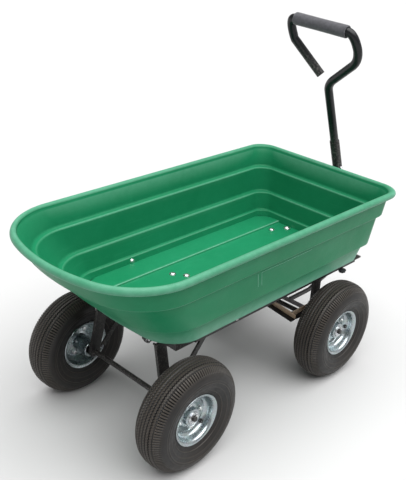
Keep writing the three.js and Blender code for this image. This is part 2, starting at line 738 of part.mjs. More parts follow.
for ( const [ end, x ] of [ [ 'rear', 0 ], [ 'front', WHEELBASE ] ] ) {

	for ( const { name, sign } of SIDES ) {

		const wheel = new THREE.Group();
		wheel.position.set( x, sign * TRACK_HALF, AXLE_HEIGHT );
		wheel.rotation.z = sign > 0 ? 0 : Math.PI;
		cart.add( wheel );
		const which = `${ end }_${ name }`;
		add( `tyre_${ which }`, turned( TYRE_PROFILE, WHEEL_SEGMENTS, FACET_DOWN ), tyreRubber(), wheel );
		add( `rim_${ which }`, turned( RIM_PROFILE, WHEEL_SEGMENTS, FACET_DOWN ), zinc(), wheel );
		const bearingEnd = HUB_OUTER - 0.5;
		add( `bearing_${ which }`, collar( AXLE_RADIUS + 0.6, HUB_BORE - 0.6,
			bearingEnd - BEARING_WIDTH, bearingEnd, 12 ), steel(), wheel );
		const washerStart = HUB_OUTER + GAP;
		add( `axle_washer_${ which }`, collar( AXLE_RADIUS + 0.6, WASHER_RADIUS,
			washerStart, washerStart + WASHER_THICKNESS, 12 ), zinc(), wheel );

	}

}

// ---------------------------------------------------------------- origin

const overall = new THREE.Box3().setFromObject( cart, true );
cart.position.x = - ( overall.min.x + overall.max.x ) / 2;

export default cart;
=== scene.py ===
# Garden cart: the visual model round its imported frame. Metres, +X to the handle end, +Z up.

import math

import bmesh
import bpy
import numpy as np
from mathutils import Matrix, Vector


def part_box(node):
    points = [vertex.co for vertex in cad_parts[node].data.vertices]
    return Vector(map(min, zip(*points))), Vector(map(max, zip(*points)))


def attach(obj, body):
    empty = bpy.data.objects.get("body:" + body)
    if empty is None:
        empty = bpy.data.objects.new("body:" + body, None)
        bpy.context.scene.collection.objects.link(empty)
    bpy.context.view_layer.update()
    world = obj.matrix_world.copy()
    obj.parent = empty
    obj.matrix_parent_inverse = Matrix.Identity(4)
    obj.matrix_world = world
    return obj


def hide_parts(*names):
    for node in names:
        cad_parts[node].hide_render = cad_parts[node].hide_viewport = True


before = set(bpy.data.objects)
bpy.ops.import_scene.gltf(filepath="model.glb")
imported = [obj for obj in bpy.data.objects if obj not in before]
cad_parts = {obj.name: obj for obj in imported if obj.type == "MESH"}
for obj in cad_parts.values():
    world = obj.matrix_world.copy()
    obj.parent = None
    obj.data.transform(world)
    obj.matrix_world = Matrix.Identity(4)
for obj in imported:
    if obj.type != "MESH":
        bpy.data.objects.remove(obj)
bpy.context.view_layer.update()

MM = 0.001
UP, DOWN = (0, 0, 1), (0, 0, -1)
SIDES = (("left", 1), ("right", -1))
AXLE_LOW, AXLE_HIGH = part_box("rear_axle")
X0 = (AXLE_LOW.x + AXLE_HIGH.x) / 2
AXLE_Z = (AXLE_LOW.z + AXLE_HIGH.z) / 2 / MM
FRONT_LOW, FRONT_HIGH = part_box("front_axle")
WHEELBASE = ((FRONT_LOW.x + FRONT_HIGH.x) / 2 - X0) / MM
TRACK_HALF = 190.0
AXLE_HALF = AXLE_HIGH.y / MM
AXLE_RADIUS = 6.3
LEG_Y = 126              # middle plane of the legs


def at(x, y, z):
    """A point given in millimetres from the ground under the rear axle."""
    return Vector((x * MM + X0, y * MM, z * MM))


# ------------------------------------------------------------------ materials

class Mat:
    """A procedural Principled material, with short helpers for its nodes."""

    def __init__(self, name, roughness=0.5, metallic=0.0, **constants):
        self.material = bpy.data.materials.new(name)
        self.material.use_nodes = True
        self.tree = self.material.node_tree
        self.shader = self.tree.nodes["Principled BSDF"]
        self.set(Roughness=roughness, Metallic=metallic, **constants)
        self.coords = self.tree.nodes.new("ShaderNodeTexCoord").outputs["Object"]

    def set(self, **values):
        for key, value in values.items():
            self.shader.inputs[key.replace("_", " ")].default_value = value

    def link(self, output, target):
        self.tree.links.new(output, target)
        return self

    def noise(self, scale, detail=4.0, rough=0.55, distortion=0.0, coords=None):
        n = self.tree.nodes.new("ShaderNodeTexNoise")
        n.inputs["Scale"].default_value = scale
        n.inputs["Detail"].default_value = detail
        n.inputs["Roughness"].default_value = rough
        n.inputs["Distortion"].default_value = distortion
        self.link(coords or self.coords, n.inputs["Vector"])
        return n.outputs["Fac"]

    def voronoi(self, scale, output="Distance", coords=None):
        n = self.tree.nodes.new("ShaderNodeTexVoronoi")
        n.inputs["Scale"].default_value = scale
        self.link(coords or self.coords, n.inputs["Vector"])
        return n.outputs[output]

    def stretched(self, x, y, z):
        n = self.tree.nodes.new("ShaderNodeMapping")
        n.inputs["Scale"].default_value = (x, y, z)
        self.link(self.coords, n.inputs["Vector"])
        return n.outputs["Vector"]

    def ramp(self, fac, *stops):
        n = self.tree.nodes.new("ShaderNodeValToRGB")
        elements = n.color_ramp.elements
        while len(elements) < len(stops):
            elements.new(0.5)
        for element, (position, color) in zip(elements, stops):
            element.position = position
            element.color = (*color, 1) if isinstance(color, tuple) else (color, color, color, 1)
        self.link(fac, n.inputs["Fac"])
        return n.outputs["Color"]

    def mix(self, fac, a, b, mode="MIX"):
        n = self.tree.nodes.new("ShaderNodeMix")
        n.data_type = "RGBA"
        n.blend_type = mode
        for value, target in ((fac, n.inputs[0]), (a, n.inputs[6]), (b, n.inputs[7])):
            if isinstance(value, bpy.types.NodeSocket):
                self.link(value, target)
            elif isinstance(value, tuple):
                target.default_value = (*value, 1)
            else:
                target.default_value = value
        return n.outputs[2]

    def pointiness(self, low, high):
        g = self.tree.nodes.new("ShaderNodeNewGeometry")
        return self.ramp(g.outputs["Pointiness"], (low, 0.0), (high, 1.0))

    def above(self, height):
        """1 above a height of the object's own space, in metres, and 0 below it."""
        split = self.tree.nodes.new("ShaderNodeSeparateXYZ")
        self.link(self.coords, split.inputs[0])
        test = self.tree.nodes.new("ShaderNodeMath")
        test.operation = "GREATER_THAN"
        test.inputs[1].default_value = height
        self.link(split.outputs["Z"], test.inputs[0])
        return test.outputs[0]

    def bump(self, height, strength, distance):
        n = self.tree.nodes.new("ShaderNodeBump")
        n.inputs["Strength"].default_value = strength
        n.inputs["Distance"].default_value = distance
        self.link(height, n.inputs["Height"])
        previous = self.shader.inputs["Normal"]
        if previous.is_linked:
            self.link(previous.links[0].from_socket, n.inputs["Normal"])
        self.link(n.outputs["Normal"], previous)
        return self

    def color(self, output):
        return self.link(output, self.shader.inputs["Base Color"])

    def roughness(self, output):
        return self.link(output, self.shader.inputs["Roughness"])


def plastic_green():
    m = Mat("tray_plastic", 0.4, 0.0)
    base = m.ramp(m.noise(3.2, 5), (0.3, (0.006, 0.150, 0.062)), (0.7, (0.010, 0.180, 0.080)))
    mottled = m.mix(m.ramp(m.noise(38, 6, 0.65), (0.45, 0.0), (0.8, 0.3)), base, (0.014, 0.205, 0.090))
    streaks = m.noise(1.0, 5, 0.6, 0.3, m.stretched(9, 26, 120))
    scuffed = m.mix(m.ramp(streaks, (0.60, 0.0), (0.82, 0.18)), mottled, (0.045, 0.27, 0.15))
    # Convex edges turn pale green: partly real scuffing of the plastic, partly a painted highlight on the lip
    # and ledge edges.
    edges = m.pointiness(0.505, 0.55)
    worn_and_highlit = m.mix(m.mix(0.6, edges, m.noise(60), "MULTIPLY"), scuffed, (0.20, 0.44, 0.33))
    m.color(worn_and_highlit)
    m.roughness(m.ramp(m.noise(14, 6, 0.7), (0.3, 0.32), (0.75, 0.48)))
    m.bump(m.noise(900, 3), 0.14, 0.0004)
    m.bump(m.noise(22, 3), 0.08, 0.003)
    m.set(Specular_IOR_Level=0.14)
    return m.material


def paint(name, dark, light, rough=(0.3, 0.5), dust=(0.10, 0.085, 0.07), dustiness=0.25, shade_black_below=None):
    m = Mat(name, 0.4, 0.0)
    base = m.ramp(m.noise(30, 5), (0.35, dark), (0.7, light))
    chipped = m.mix(m.mix(0.8, m.pointiness(0.53, 0.62), m.ramp(m.noise(240, 3), (0.5, 0.0), (0.62, 1.0)),
                          "MULTIPLY"), base, (0.16, 0.15, 0.14))
    dusty_and_shaded = m.mix(m.ramp(m.noise(11, 7, 0.7), (0.45, 0.0), (0.85, dustiness)), chipped, dust)
    # Below the given height the colour turns near-black: painted shade for a lower face that lies in shadow.
    if shade_black_below:
        dusty_and_shaded = m.mix(m.above(shade_black_below), (0.008, 0.008, 0.009), dusty_and_shaded)
    m.color(dusty_and_shaded)
    m.roughness(m.ramp(m.noise(55, 6, 0.7), (0.3, rough[0]), (0.75, rough[1])))
    m.bump(m.noise(620, 2), 0.12, 0.0004)
    m.set(Specular_IOR_Level=0.3)
    return m.material


def zinc(name, tone=(0.70, 0.715, 0.73), rough=(0.2, 0.38), dust=0.3, dust_color=(0.42, 0.38, 0.30)):
    m = Mat(name, 0.3, 1.0)
    spangle = m.voronoi(160, "Color")
    grey = m.mix(0.07, tone, spangle, "SOFT_LIGHT")
    stain = m.mix(m.ramp(m.noise(26, 6, 0.65), (0.46, 0.0), (0.8, dust)), grey, dust_color)
    m.color(stain)
    m.roughness(m.ramp(m.noise(70, 6, 0.7), (0.3, rough[0]), (0.75, rough[1])))
    m.bump(m.noise(300, 3), 0.05, 0.0003)
    return m.material


def rubber():
    m = Mat("tyre_rubber", 0.7, 0.0)
    base = m.ramp(m.noise(18, 6), (0.3, (0.006, 0.006, 0.0066)), (0.75, (0.012, 0.012, 0.0127)))
    brown = m.mix(m.ramp(m.noise(7, 7, 0.7), (0.42, 0.0), (0.85, 0.5)), base, (0.036, 0.026, 0.018))
    edges = m.mix(m.ramp(m.pointiness(0.5, 0.55), (0.0, 0.0), (1.0, 0.75)), brown, (0.085, 0.070, 0.054))
    m.color(edges)
    m.roughness(m.ramp(m.noise(90, 6, 0.7), (0.3, 0.36), (0.75, 0.60)))
    m.bump(m.noise(700, 4), 0.18, 0.0005)
    m.set(Specular_IOR_Level=0.34)
    return m.material


def foam():
    m = Mat("grip_foam", 0.9, 0.0)
    m.color(m.ramp(m.noise(120, 5), (0.3, (0.040, 0.040, 0.046)), (0.75, (0.076, 0.076, 0.088))))
    m.bump(m.voronoi(1500), 0.5, 0.0006)
    m.bump(m.noise(60, 4), 0.25, 0.002)
    m.set(Sheen_Weight=0.35, Sheen_Roughness=0.5)
    return m.material


def dark_plastic():
    m = Mat("dark_cap", 0.55, 0.0)
    m.color(m.ramp(m.noise(80), (0.3, (0.012, 0.012, 0.013)), (0.7, (0.024, 0.023, 0.023))))
    m.bump(m.noise(500), 0.2, 0.0004)
    return m.material


GREEN = plastic_green()
BLACK = paint("frame_paint", (0.005, 0.005, 0.0055), (0.009, 0.009, 0.010), dust=(0.045, 0.038, 0.030))
RING_PAINTED_SHADE_BELOW = 0.1543      # metres above the ring's own origin; below it the ring is coloured black, painted shade on its lower flange, which lies in shadow
# The ring's bronze tone is made light to stand in for the light on its upper faces, painted light; below the
# set height it is black, painted shade.
BRONZE = paint("ring_painted_light_and_shade", (0.46, 0.33, 0.225), (0.62, 0.47, 0.345), (0.35, 0.5),
               (0.42, 0.33, 0.24), 0.4, RING_PAINTED_SHADE_BELOW)
# The cross bar's grey is lighter than the black frame to stand in for the light falling on it: painted light.
GREY = paint("cross_bar_painted_light_grey", (0.13, 0.12, 0.13), (0.19, 0.175, 0.185), (0.3, 0.45),
             (0.20, 0.17, 0.14), 0.4)
LIGHT_GREY = paint("rail_end_paint", (0.36, 0.36, 0.355), (0.48, 0.48, 0.47), (0.3, 0.45),
                   (0.30, 0.28, 0.25), 0.4)
KNOB = paint("knob_paint", (0.020, 0.027, 0.030), (0.032, 0.042, 0.046), (0.3, 0.45), dustiness=0.2)
TUBE = paint("handle_paint", (0.005, 0.006, 0.007), (0.010, 0.011, 0.013), (0.24, 0.38),
             (0.05, 0.045, 0.04), 0.12)
ZINC = zinc("plated_steel")
RIM = zinc("rim_steel", (0.40, 0.45, 0.465), (0.22, 0.36), 0.2, (0.20, 0.185, 0.16))
FLANGE = zinc("rim_flange", (0.42, 0.40, 0.36), (0.36, 0.52), 0.75, (0.27, 0.23, 0.17))
RUBBER = rubber()
FOAM = foam()
CAP = dark_plastic()

# ------------------------------------------------------------------ shape building


class Shape:
    """Vertices and faces collected from several closed forms, then made into one object."""

    def __init__(self):
        self.verts = []
        self.faces = []
        self.slots = []

    def add(self, verts, faces, slot=0):
        start = len(self.verts)
        self.verts.extend(verts)
        self.faces.extend([tuple(start + i for i in f) for f in faces])
        self.slots.extend([slot] * len(faces))
        return self

    def loft(self, rings, closed=False, caps=True, slot=0):
        """Joins rings of equal size into a skin; closed joins the last to the first."""
        size = len(rings[0])
        verts = [Vector(v) for ring in rings for v in ring]
        faces = []
        last = len(rings) if closed else len(rings) - 1
        for i in range(last):
            a, b = i * size, ((i + 1) % len(rings)) * size
            for j in range(size):
                k = (j + 1) % size
                faces.append((a + j, a + k, b + k, b + j))
        if caps and not closed:
            faces.append(tuple(reversed(range(size))))
            faces.append(tuple(range((len(rings) - 1) * size, len(rings) * size)))
        return self.add(verts, faces, slot)

    def turned(self, profile, place, segments=48, closed=False, slot=0):
        """A profile of (radius, distance along the axis) in millimetres, turned about place's Z axis."""
        rings = []
        for radius, t in profile:
            rings.append([place @ Vector((radius * MM * math.cos(a), radius * MM * math.sin(a), t * MM))
                          for a in (2 * math.pi * k / segments for k in range(segments))])
        return self.loft(rings, closed, not closed, slot)

    def prism(self, outline, depth, place, bevel=0.8, slot=0):
        """An outline in place's XY plane, in millimetres, run up place's Z by depth, with rounded edges."""
        bm = bmesh.new()
        bottom = [bm.verts.new((x, y, 0)) for x, y in outline]
        bm.faces.new(bottom)
        made = bmesh.ops.extrude_face_region(bm, geom=list(bm.faces))
        moved = [v for v in made["geom"] if isinstance(v, bmesh.types.BMVert)]
        bmesh.ops.translate(bm, verts=moved, vec=(0, 0, depth))
        bmesh.ops.recalc_face_normals(bm, faces=bm.faces)
        if bevel:
            sharp = [e for e in bm.edges if len(e.link_faces) == 2 and e.calc_face_angle(0) > 0.6]
            bmesh.ops.bevel(bm, geom=sharp, offset=bevel, segments=2, profile=0.6,
                            affect="EDGES", clamp_overlap=True)
        verts = [place @ (v.co * MM) for v in bm.verts]
        bm.verts.index_update()
        faces = [tuple(v.index for v in f.verts) for f in bm.faces]
        bm.free()
        return self.add(verts, faces, slot)

    def tube(self, path, radius, segments=16, inner=0.0, slot=0, ripple=0.0):
        """A round tube along points in metres; radius and inner in millimetres; inner opens both ends."""
        rings = []
        tangents = []
        for i, p in enumerate(path):
            before, after = path[max(i - 1, 0)], path[min(i + 1, len(path) - 1)]
            tangents.append((after - before).normalized())
        side = tangents[0].orthogonal().normalized()
        for i, (p, t) in enumerate(zip(path, tangents)):
            side = (side - t * side.dot(t)).normalized()
            other = t.cross(side)
            size = radius * (1 + ripple * math.sin(i * 2.2)) * MM
            rings.append([p + (side * math.cos(a) + other * math.sin(a)) * size
                          for a in (2 * math.pi * k / segments for k in range(segments))])
        if inner:
            def scaled(ring, centre, factor, shift=Vector()):
                return [centre + (v - centre) * factor + shift for v in ring]
            first, last = rings[0], rings[-1]
            k = inner / radius
            deep = 14 * MM
            start, end = path[0], path[-1]
            head = [scaled(first, start, k, tangents[0] * deep), scaled(first, start, k)]
            tail = [scaled(last, end, k), scaled(last, end, k, tangents[-1] * -deep)]
            rings = head + rings + tail
        return self.loft(rings, slot=slot)

    def weld(self, points, radius=2.6):
        """A weld bead with ripples along a line of points in millimetres."""
        path = []
        for a, b in zip(points, points[1:]):
            a, b = at(*a), at(*b)
            steps = max(2, int((b - a).length / (1.3 * MM)))
            path += [a.lerp(b, i / steps) for i in range(steps)]
        path.append(at(*points[-1]))
        return self.tube(path, radius, 8, ripple=0.16)

    def make(self, name, materials, body, replaces=(), slot=None, sharp=35):
        mesh = bpy.data.meshes.new(name)
        mesh.from_pydata([tuple(v) for v in self.verts], [], self.faces)
        materials = materials if isinstance(materials, (list, tuple)) else [materials]
        for m in materials:
            mesh.materials.append(m)
        mesh.polygons.foreach_set("material_index", self.slots)
        bm = bmesh.new()
        bm.from_mesh(mesh)
        bmesh.ops.recalc_face_normals(bm, faces=bm.faces)
        bm.to_mesh(mesh)
        bm.free()
        mesh.polygons.foreach_set("use_smooth", [True] * len(mesh.polygons))
        mesh.set_sharp_from_angle(angle=math.radians(sharp))
        return put(name, mesh, body, replaces)


def put(name, mesh, body, replaces=(), matrix=None):
    obj = bpy.data.objects.new(name, mesh)
    bpy.context.scene.collection.objects.link(obj)
    if matrix is not None:
        obj.matrix_world = matrix
    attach(obj, body)
    if replaces:
        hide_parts(*replaces)
    return obj


def facing(origin, z, x=None):
    """A placement at origin (metres) with its Z along z, and its X near x."""
    z = Vector(z).normalized()
    x = Vector(x) if x is not None else z.orthogonal()
    x = (x - z * x.dot(z)).normalized()
    y = z.cross(x)
    m = Matrix((x, y, z)).transposed().to_4x4()
    m.translation = origin
    return m


def circle(radius, count, start=0.0, span=2 * math.pi, cx=0.0, cy=0.0):
    end = count if abs(span - 2 * math.pi) < 1e-6 else count - 1
    return [(cx + radius * math.cos(start + span * i / end), cy + radius * math.sin(start + span * i / end))
            for i in range(count)]


def hexagon(flats):
    return circle(flats / math.sqrt(3), 6)


def hex_head(shape, place, flats=13, height=5.5, washer=9.5, slot=0):
    """A hexagon head or nut on a washer, standing on place's XY plane."""
    shape.turned([(washer - 0.6, 0), (washer, 0.4), (washer, 1.2), (washer - 0.5, 1.6), (3, 1.6)],
                 place, 28, slot=slot)
    shape.prism(hexagon(flats), height, place @ Matrix.Translation((0, 0, 1.6 * MM)), 0.7, slot)


def stud(shape, place, radius, start, end, pitch=1.1, slot=0):
    """A threaded end: a turned rod with ridges."""
    profile = []
    t = start
    while t < end - pitch:
        profile += [(radius, t), (radius - 0.45, t + pitch / 2)]
        t += pitch
    profile += [(radius, t), (radius - 0.8, end)]
    shape.turned(profile, place, 20, slot=slot)


def dome_head(shape, place, radius=7.5, height=4.0, slot=0):
    """A round coach-bolt head with a thin rim and a washer under it."""
    shape.turned([(radius + 1.6, 0), (radius + 1.9, 0.5), (radius + 1.6, 1.0), (radius, 1.0), (radius, 1.7),
                  (0.93 * radius, 2.5), (0.72 * radius, 3.4), (0.42 * radius, height), (0.1, height + 0.25)],
                 place, 32, slot=slot)


# ------------------------------------------------------------------ tray

RIM_HALF = 235.0
DUMP_CORNER = 165.0
FRONT_CORNER = 50.0
UNDERSIDE, RIM_TOP = 291.0, 495.0
STRIP_Y = 100.0
STRIP_RISE = 5.0

# z, half width, dump end, handle end, size of the rounding; from the underside up and over the lip
OUTSIDE = [
    (291, 169, -46, 651, 5), (340.5, 183, -88, 659, 3), (343, 194, -99, 667, 3),
    (425.5, 205, -175, 673, 3), (428, 214, -187, 681, 3), (477, 220, -219, 685, 2),
]
INSIDE = [
    (484, 216.5, -213.5, 681.5, 3), (438, 210, -180, 677, 5), (436, 199, -169, 668, 4),
    (370, 193, -113, 664, 5), (368, 182, -102, 656, 4), (320, 174, -66, 652.5, 3),
    (318, 168, -61, 648, 2.5), (298, 164, -44, 645.5, 4),
]


def rounded(rows):
    """Rounds each bend of a profile by its last number, in millimetres along both arms."""
    out = []
    for i, row in enumerate(rows):
        here = np.array(row[:4], float)
        if i in (0, len(rows) - 1):
            out.append(here)
            continue
        arms = []
        for j in (i - 1, i + 1):
            arm = np.array(rows[j][:4], float) - here
            length = math.hypot(arm[0], arm[1])
            arms.append(here + arm * min(0.45, row[4] / length))
        for t in (0, 0.2, 0.4, 0.6, 0.8, 1):
            out.append((1 - t) ** 2 * arms[0] + 2 * t * (1 - t) * here + t ** 2 * arms[1])
    return out


def tray_outline(z, half, dump, front):
    rise = (z - UNDERSIDE) / (RIM_TOP - UNDERSIDE)
    inset = RIM_HALF - half
    dump_corner = DUMP_CORNER - 1.2 * inset
    front_corner = FRONT_CORNER - 0.25 * inset
    bow = 900 + (385 - 900) * rise
    centre = dump + bow
    reach = bow - dump_corner
    spread = math.asin((half - dump_corner) / reach)
    corner_x = centre - reach * math.cos(spread)
    side = []
    side += circle(front_corner, 10, 0, math.pi / 2, front - front_corner, half - front_corner)
    straight0, straight1 = front - front_corner, corner_x
    for k in range(1, 14):
        side.append((straight0 + (straight1 - straight0) * k / 14, half))
    side += circle(dump_corner, 18, math.pi / 2, math.pi / 2 - spread, corner_x, half - dump_corner)
    bow_points = circle(bow, 10, math.pi - spread, spread, centre, 0)
    side += bow_points[1:-1]
    mirrored = [(x, -y) for x, y in reversed(side)]
    across = [(front, (half - front_corner) * (2 * k / 8 - 1)) for k in range(1, 8)]
    return side + [(dump, 0)] + mirrored + across


def floor_height(y):
    t = min(1.0, max(0.0, (abs(y) - STRIP_Y) / 3.0))
    return STRIP_RISE * t * t * (3 - 2 * t)


FLOOR = 298
LIP_WIDTH, LIP_HEIGHT = 7.9, 8.6          # half axes of the rolled lip's section
LIP_CENTRE = (486.2, 226.6, -225.6, 691.6)      # z, half width, dump end, handle end
FLOOR_STEPS = 30


def make_tray():
    lip = []
    for k in range(15):
        a = math.radians(-75 + 255 * k / 14)
        out = LIP_WIDTH * math.cos(a)
        z, half, dump, front = LIP_CENTRE
        lip.append(np.array([z + LIP_HEIGHT * math.sin(a), half + out, dump - out, front + out]))
    rows = rounded(OUTSIDE) + lip + rounded(INSIDE)
    rings = []
    for index, (z, half, dump, front) in enumerate(rows):
        ring = []
        for x, y in tray_outline(z, half, dump, front):
            low = index == len(rows) - 1
            ring.append(at(x, y, z + (floor_height(y) if low else 0)))
        rings.append(ring)
    shape = Shape()
    shape.loft(rings, caps=False)
    size = len(rings[0])
    shape.add(list(rings[0]), [tuple(range(size))])
    # floor: rows across it, closer together at the edge of the raised side strips
    levels = [-164, -150, -130, -112, -104, -103, -102.2, -101.5, -100.8, -100, -99, -85, -60, -30]
    levels = levels + [0] + [-v for v in reversed(levels)]
    outline = tray_outline(FLOOR, 164.4, -44.4, 645.9)
    grid = []
    for y in levels:
        crossing = []
        for (xa, ya), (xb, yb) in zip(outline, outline[1:] + outline[:1]):
            if (ya - y) * (yb - y) <= 0 and abs(ya - yb) > 1e-9:
                crossing.append(xa + (xb - xa) * (y - ya) / (yb - ya))
        lo, hi = min(crossing), max(crossing)
        grid.append([at(lo + (hi - lo) * k / FLOOR_STEPS, y, FLOOR + floor_height(y))
                     for k in range(FLOOR_STEPS + 1)])
    verts = [v for row in grid for v in row]
    row = FLOOR_STEPS + 1
    faces = [(r * row + k, r * row + k + 1, (r + 1) * row + k + 1, (r + 1) * row + k)
             for r in range(len(grid) - 1) for k in range(FLOOR_STEPS)]
    shape.add(verts, faces)
    return shape.make("tray_shell", GREEN, "tray_body", ["tray"], "tray_green", 50)


make_tray()

bolts = Shape()
for side in (1, -1):
    for x, y in ((193, 67), (214, 40), (590, 82)):
        dome_head(bolts, facing(at(x, side * y, FLOOR + 0.2), UP), 6.6, 3.8)
bolts.make("tray_bolt_heads", ZINC, "tray_body",
           [f"tray_bolt_{s}_{i}" for s, _ in SIDES for i in (1, 2, 3)], "bright_steel")

# bolts through the low riser walls, and a bigger one in the floor by the handle end
riser_bolts = Shape()
for side in (1, -1):
    dome_head(riser_bolts, facing(at(150, side * 165.9, 307), (0, -side, 0.2)), 5.6, 3.4)
dome_head(riser_bolts, facing(at(633, 61.5, FLOOR + 0.2), UP), 8.2, 5.0)
riser_bolts.make("tray_riser_bolts", ZINC, "tray_body", (), "bright_steel")


def side_wall(x, z, side):
    """A point on the outer side, between its two steps."""
    return at(x, side * (194.2 + (z - 343) * 11 / 82.5), z)


# shallow moulded outline of a blank panel on each outer side: a double upright line and a top line
PANEL_TOP, PANEL_BEAD, PANEL_LEAN = 415, 0.75, 0.3
panel = Shape()
for side in (1, -1):
    for x in (179.0, 191.0):
        upright = [side_wall(x + (PANEL_TOP - z) * PANEL_LEAN, z, side) for z in (378, 390, 402, PANEL_TOP)]
        panel.tube(upright, PANEL_BEAD, 8)
    panel.tube([side_wall(x, PANEL_TOP, side) for x in range(191, 373, 12)], PANEL_BEAD, 8)
panel.make("tray_panel_outline", GREEN, "tray_body", (), "tray_green", 60)

# ------------------------------------------------------------------ wheels

TYRE_CURVE = [
    (131.0, 0), (130.8, 8), (129.4, 16), (126.6, 23), (122.6, 29), (117.5, 34.2), (111, 38.8), (103, 41.8),
    (94, 42.3), (85, 40.8), (76, 37.4), (68.5, 33.2), (63.5, 30.6), (61.2, 29.4),
]
NOTCHES = 124
RIB_GROOVES = (0.0, 8.2, 16.6)        # widths of the zigzag grooves, from the middle plane
SHOULDER_FROM, SHOULDER_TO = 21.5, 38.5
SIDEWALL_RINGS = (99.0, 94.0, 84.0, 72.0)
HUB_END = 19.0                        # outboard end of the hub, from the tyre's middle plane
WASHER_GAP = 0.3
NUT_CIRCLE = 31.5
VALVE_CIRCLE = 47.0


def smooth_curve(points, steps):
    """Catmull-Rom through the points, with equal steps in each span."""
    pts = [np.array(p, float) for p in points]
    pts = [2 * pts[0] - pts[1]] + pts + [2 * pts[-1] - pts[-2]]
    out = []
    for a, b, c, d in zip(pts, pts[1:], pts[2:], pts[3:]):
        for k in range(steps):
            t = k / steps
            out.append(0.5 * (2 * b + (c - a) * t + (2 * a - 5 * b + 4 * c - d) * t * t
                              + (3 * b - a - 3 * c + d) * t ** 3))
    out.append(pts[-2])
    return out


def tread_depth(r, t, angle):
    """How far the surface is cut back, in millimetres, at width t and angle round the tyre."""
    phase = (angle * NOTCHES / (2 * math.pi)) % 1.0
    zigzag = abs(2 * phase - 1) * 2 - 1
    depth = 0.0
    for centre in RIB_GROOVES:
        for s in (1, -1):
            d = abs(t - s * centre - 0.9 * zigzag)
            depth = max(depth, 2.4 * max(0.0, 1 - (d / 1.6) ** 4) if d < 1.6 else 0.0)
    w = abs(t)
    if r > 100 and SHOULDER_FROM < w < SHOULDER_TO:
        ends = min(1.0, (w - SHOULDER_FROM) / 2.0, (SHOULDER_TO - w) / 3.0)
        cut = 1.0 if phase < 0.42 else 0.0
        ramp = min(1.0, phase / 0.08, max(0.0, (0.5 - phase) / 0.08))
        depth = max(depth, 2.1 * ends * cut * ramp)
    if 24 < w < 25.6 and r > 100:
        depth = max(depth, 1.4)
    if r < 106:
        for ring in SIDEWALL_RINGS:
            d = abs(r - ring)
            if d < 1.2:
                depth -= 0.8 * (1 - d / 1.2)
    return depth


def tyre_mesh():
    half = smooth_curve(TYRE_CURVE, 6)
    outer = [(r, -t) for r, t in reversed(half[1:])] + [(r, t) for r, t in half]
    inner_half = [(58.6, 28.4), (55.2, 27.6), (55.0, 22), (70, 28), (84, 34), (102, 36), (118, 24), (124, 0)]
    inner = inner_half + [(r, -t) for r, t in reversed(inner_half[:-1])]
    steps = NOTCHES * 4
    normals = []
    for i in range(len(outer)):
        a = np.array(outer[max(i - 1, 0)])
        b = np.array(outer[min(i + 1, len(outer) - 1)])
        tangent = (b - a) / np.linalg.norm(b - a)
        normals.append((tangent[1], -tangent[0]))
    rings = []
    for (r, t), (nr, nt) in zip(outer, normals):
        ring = []
        for k in range(steps):
            a = 2 * math.pi * k / steps
            d = tread_depth(r, t, a)
            rr, tt = r - nr * d, t - nt * d
            ring.append(Vector((rr * MM * math.cos(a), tt * MM, rr * MM * math.sin(a))))
        rings.append(ring)
    for r, t in inner:
        rings.append([Vector((r * MM * math.cos(a), t * MM, r * MM * math.sin(a)))
                      for a in (2 * math.pi * k / steps for k in range(steps))])
    shape = Shape()
    shape.loft(rings, closed=True)
    return shape


def mesh_of(shape, name, materials, sharp=35):
    """Makes the shape's mesh alone, for several wheels to share."""
    obj = shape.make(name, materials, "chassis", (), None, sharp)
    mesh = obj.data
    bpy.data.objects.remove(obj)
    return mesh


AXIS = Matrix.Rotation(-math.pi / 2, 4, "X")     # turns a profile's Z axis to +Y, the outboard side


def rim_shape():
    shape = Shape()
    flange_out = [(53.2, 24.2), (54.6, 28.0), (58.0, 30.8), (60.6, 31.6), (61.9, 31.0), (61.7, 29.8),
                  (60.0, 29.2), (57.0, 28.4), (54.6, 27.4), (53.9, 26.2)]
    shape.turned(flange_out, AXIS, 96, closed=True, slot=1)
    # outboard pressing: flange, curved well, step, recessed disc and raised seat for the hub
    well = [(61.0, 31.9), (57.4, 31.0), (54.0, 28.2), (52.4, 24.6), (51.8, 19), (50.6, 13.6), (48.2, 9.6),
            (45.6, 8.0), (43.9, 6.8), (43.1, 4.6), (42.0, 3.5), (33.5, 3.3), (30.6, 4.2), (28.2, 6.2),
            (25.6, 7.0), (21.4, 7.2), (20.6, 8.0), (20.4, 18.2), (19.4, HUB_END), (14.6, HUB_END),
            (14.4, 12), (14.3, -50), (14.6, -54), (19.4, -54), (20.2, -53), (20.2, -6), (26, -5.4),
            (31, -2.2), (42, -1.6), (43.6, -3.6), (45.8, -6.4), (50.2, -11), (51.6, -19), (52.4, -24.6),
            (54.0, -28.2), (57.4, -31.0), (61.0, -31.9), (61.9, -31.0), (61.6, -29.6), (57.4, -28.9),
            (54.8, -26.4), (53.6, -18), (52.4, -10), (50.6, -4), (51.6, -1.4), (51.6, 1.4), (50.6, 4),
            (52.4, 10), (53.6, 18), (54.8, 26.4), (57.4, 28.9), (61.6, 29.6), (61.9, 31.0)]
    shape.turned(well, AXIS, 96, closed=True)
    return shape


def wheel_hardware():
    """Nuts and studs that clamp the pressings together."""
    shape = Shape()
    for k in range(4):
        a = math.radians(83 + 90 * k)
        x, z = NUT_CIRCLE * math.cos(a) * MM, NUT_CIRCLE * math.sin(a) * MM
        place = facing(Vector((x, 3.0 * MM, z)), (0, 1, 0))
        hex_head(shape, place, 10, 5.2, 6.6)
        stud(shape, place, 3.0, 6.0, 11.0)
        back = facing(Vector((x, -2.2 * MM, z)), (0, -1, 0))
        hex_head(shape, back, 10, 3.8, 6.4)
    return shape


